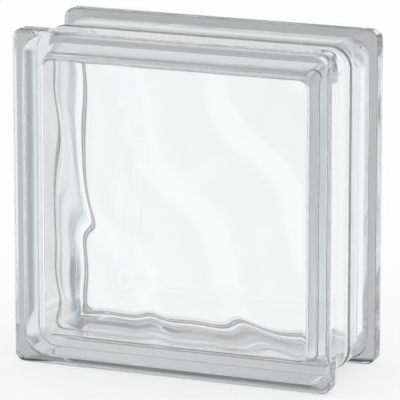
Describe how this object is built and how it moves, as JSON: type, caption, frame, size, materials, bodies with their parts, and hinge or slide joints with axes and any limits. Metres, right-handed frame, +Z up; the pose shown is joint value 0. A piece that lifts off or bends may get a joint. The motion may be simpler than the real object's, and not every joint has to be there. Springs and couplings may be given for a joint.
{
  "type": "glass block",
  "caption": "Hollow square building block of clear pressed glass with wavy panes, a lip round each face and a mortar groove all round its edge.",
  "frame": {"origin": "centre of the base, midway between the faces, at the level of the lips' undersides", "axes": "+Z up as the block stands in a wall, +X along the wall, +Y from the front face to the back face"},
  "size_m": [0.19, 0.08, 0.19],
  "materials": {
    "glass": "clear pressed soda-lime glass, smooth outside, waved inside"
  },
  "bodies": {
    "root": {"glass_block": "glass"}
  },
  "joints": []
}
